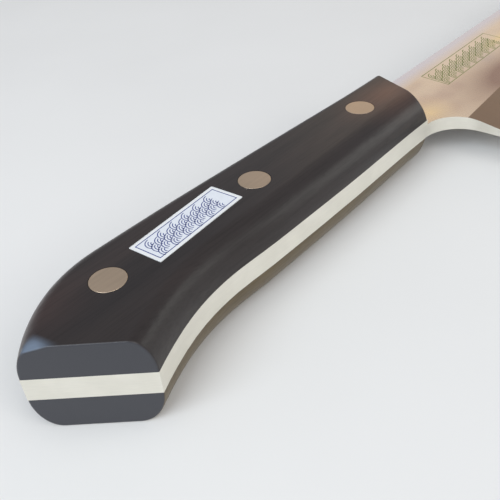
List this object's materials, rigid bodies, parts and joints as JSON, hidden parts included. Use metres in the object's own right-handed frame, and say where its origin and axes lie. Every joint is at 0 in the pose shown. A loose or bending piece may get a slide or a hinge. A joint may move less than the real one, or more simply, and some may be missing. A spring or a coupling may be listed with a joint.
{
  "type": "deba knife",
  "caption": "Heavy single-bevel fish knife with a straight spine, deep heel and riveted full-tang western handle.",
  "frame": {"origin": "under the middle of the knife's box, on the surface that the left scale's flat face lies on", "axes": "+X from the butt to the tip along the rivet line, +Y from the edge to the spine, +Z out of the right-hand face"},
  "size_m": [0.291, 0.0484, 0.0197],
  "materials": {
    "blade_steel": "satin ground stainless steel, cross-ground on the tang's rim",
    "scale_wood": "black-brown resin-pressed laminated wood, satin",
    "rivet_metal": "pale nickel-brass, ground flush",
    "label_paper": "coated white paper with a thin blue border"
  },
  "bodies": {
    "root": {"blade": "blade_steel", "right_scale": "scale_wood", "left_scale": "scale_wood", "rear_rivet_pin_half": "rivet_metal", "rear_rivet_sleeve_half": "rivet_metal", "middle_rivet_pin_half": "rivet_metal", "middle_rivet_sleeve_half": "rivet_metal", "front_rivet_pin_half": "rivet_metal", "front_rivet_sleeve_half": "rivet_metal", "handle_label": "label_paper"}
  },
  "joints": []
}
